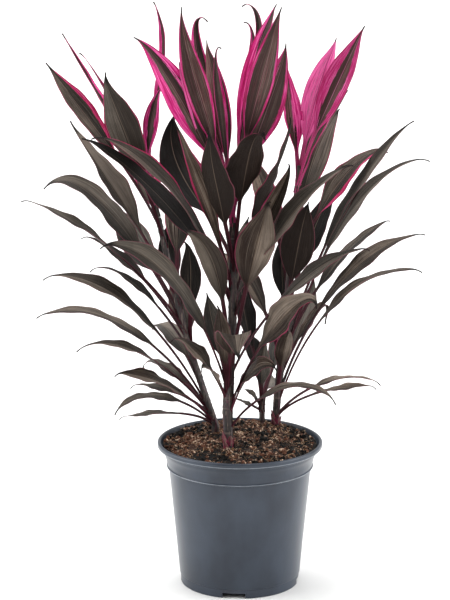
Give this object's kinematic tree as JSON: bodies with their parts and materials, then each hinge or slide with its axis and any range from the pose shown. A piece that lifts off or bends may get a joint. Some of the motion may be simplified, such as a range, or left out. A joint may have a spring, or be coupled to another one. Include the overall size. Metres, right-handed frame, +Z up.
{
  "type": "potted ti plant",
  "caption": "Leafy ti plant with dark drooping leaves and upright pink crowns, standing in soil in a tapered plastic nursery pot.",
  "frame": {"origin": "centre of the pot's base, on the surface it stands on", "axes": "+Z up along the pot's axis, -Y towards the plant's front view, +X to the right in that view"},
  "size_m": [0.5136, 0.3965, 0.7503],
  "materials": {
    "pot_plastic": "satin",
    "soil": "matte",
    "dark_leaf": "satin",
    "pink_leaf": "satin"
  },
  "bodies": {
    "root": {"pot": "pot_plastic", "soil": "soil", "centre_shoot": "dark_leaf", "left_shoot": "dark_leaf", "right_shoot": "dark_leaf", "back_shoot": "dark_leaf", "centre_crown": "pink_leaf", "left_crown": "pink_leaf", "right_crown": "pink_leaf"}
  },
  "joints": []
}
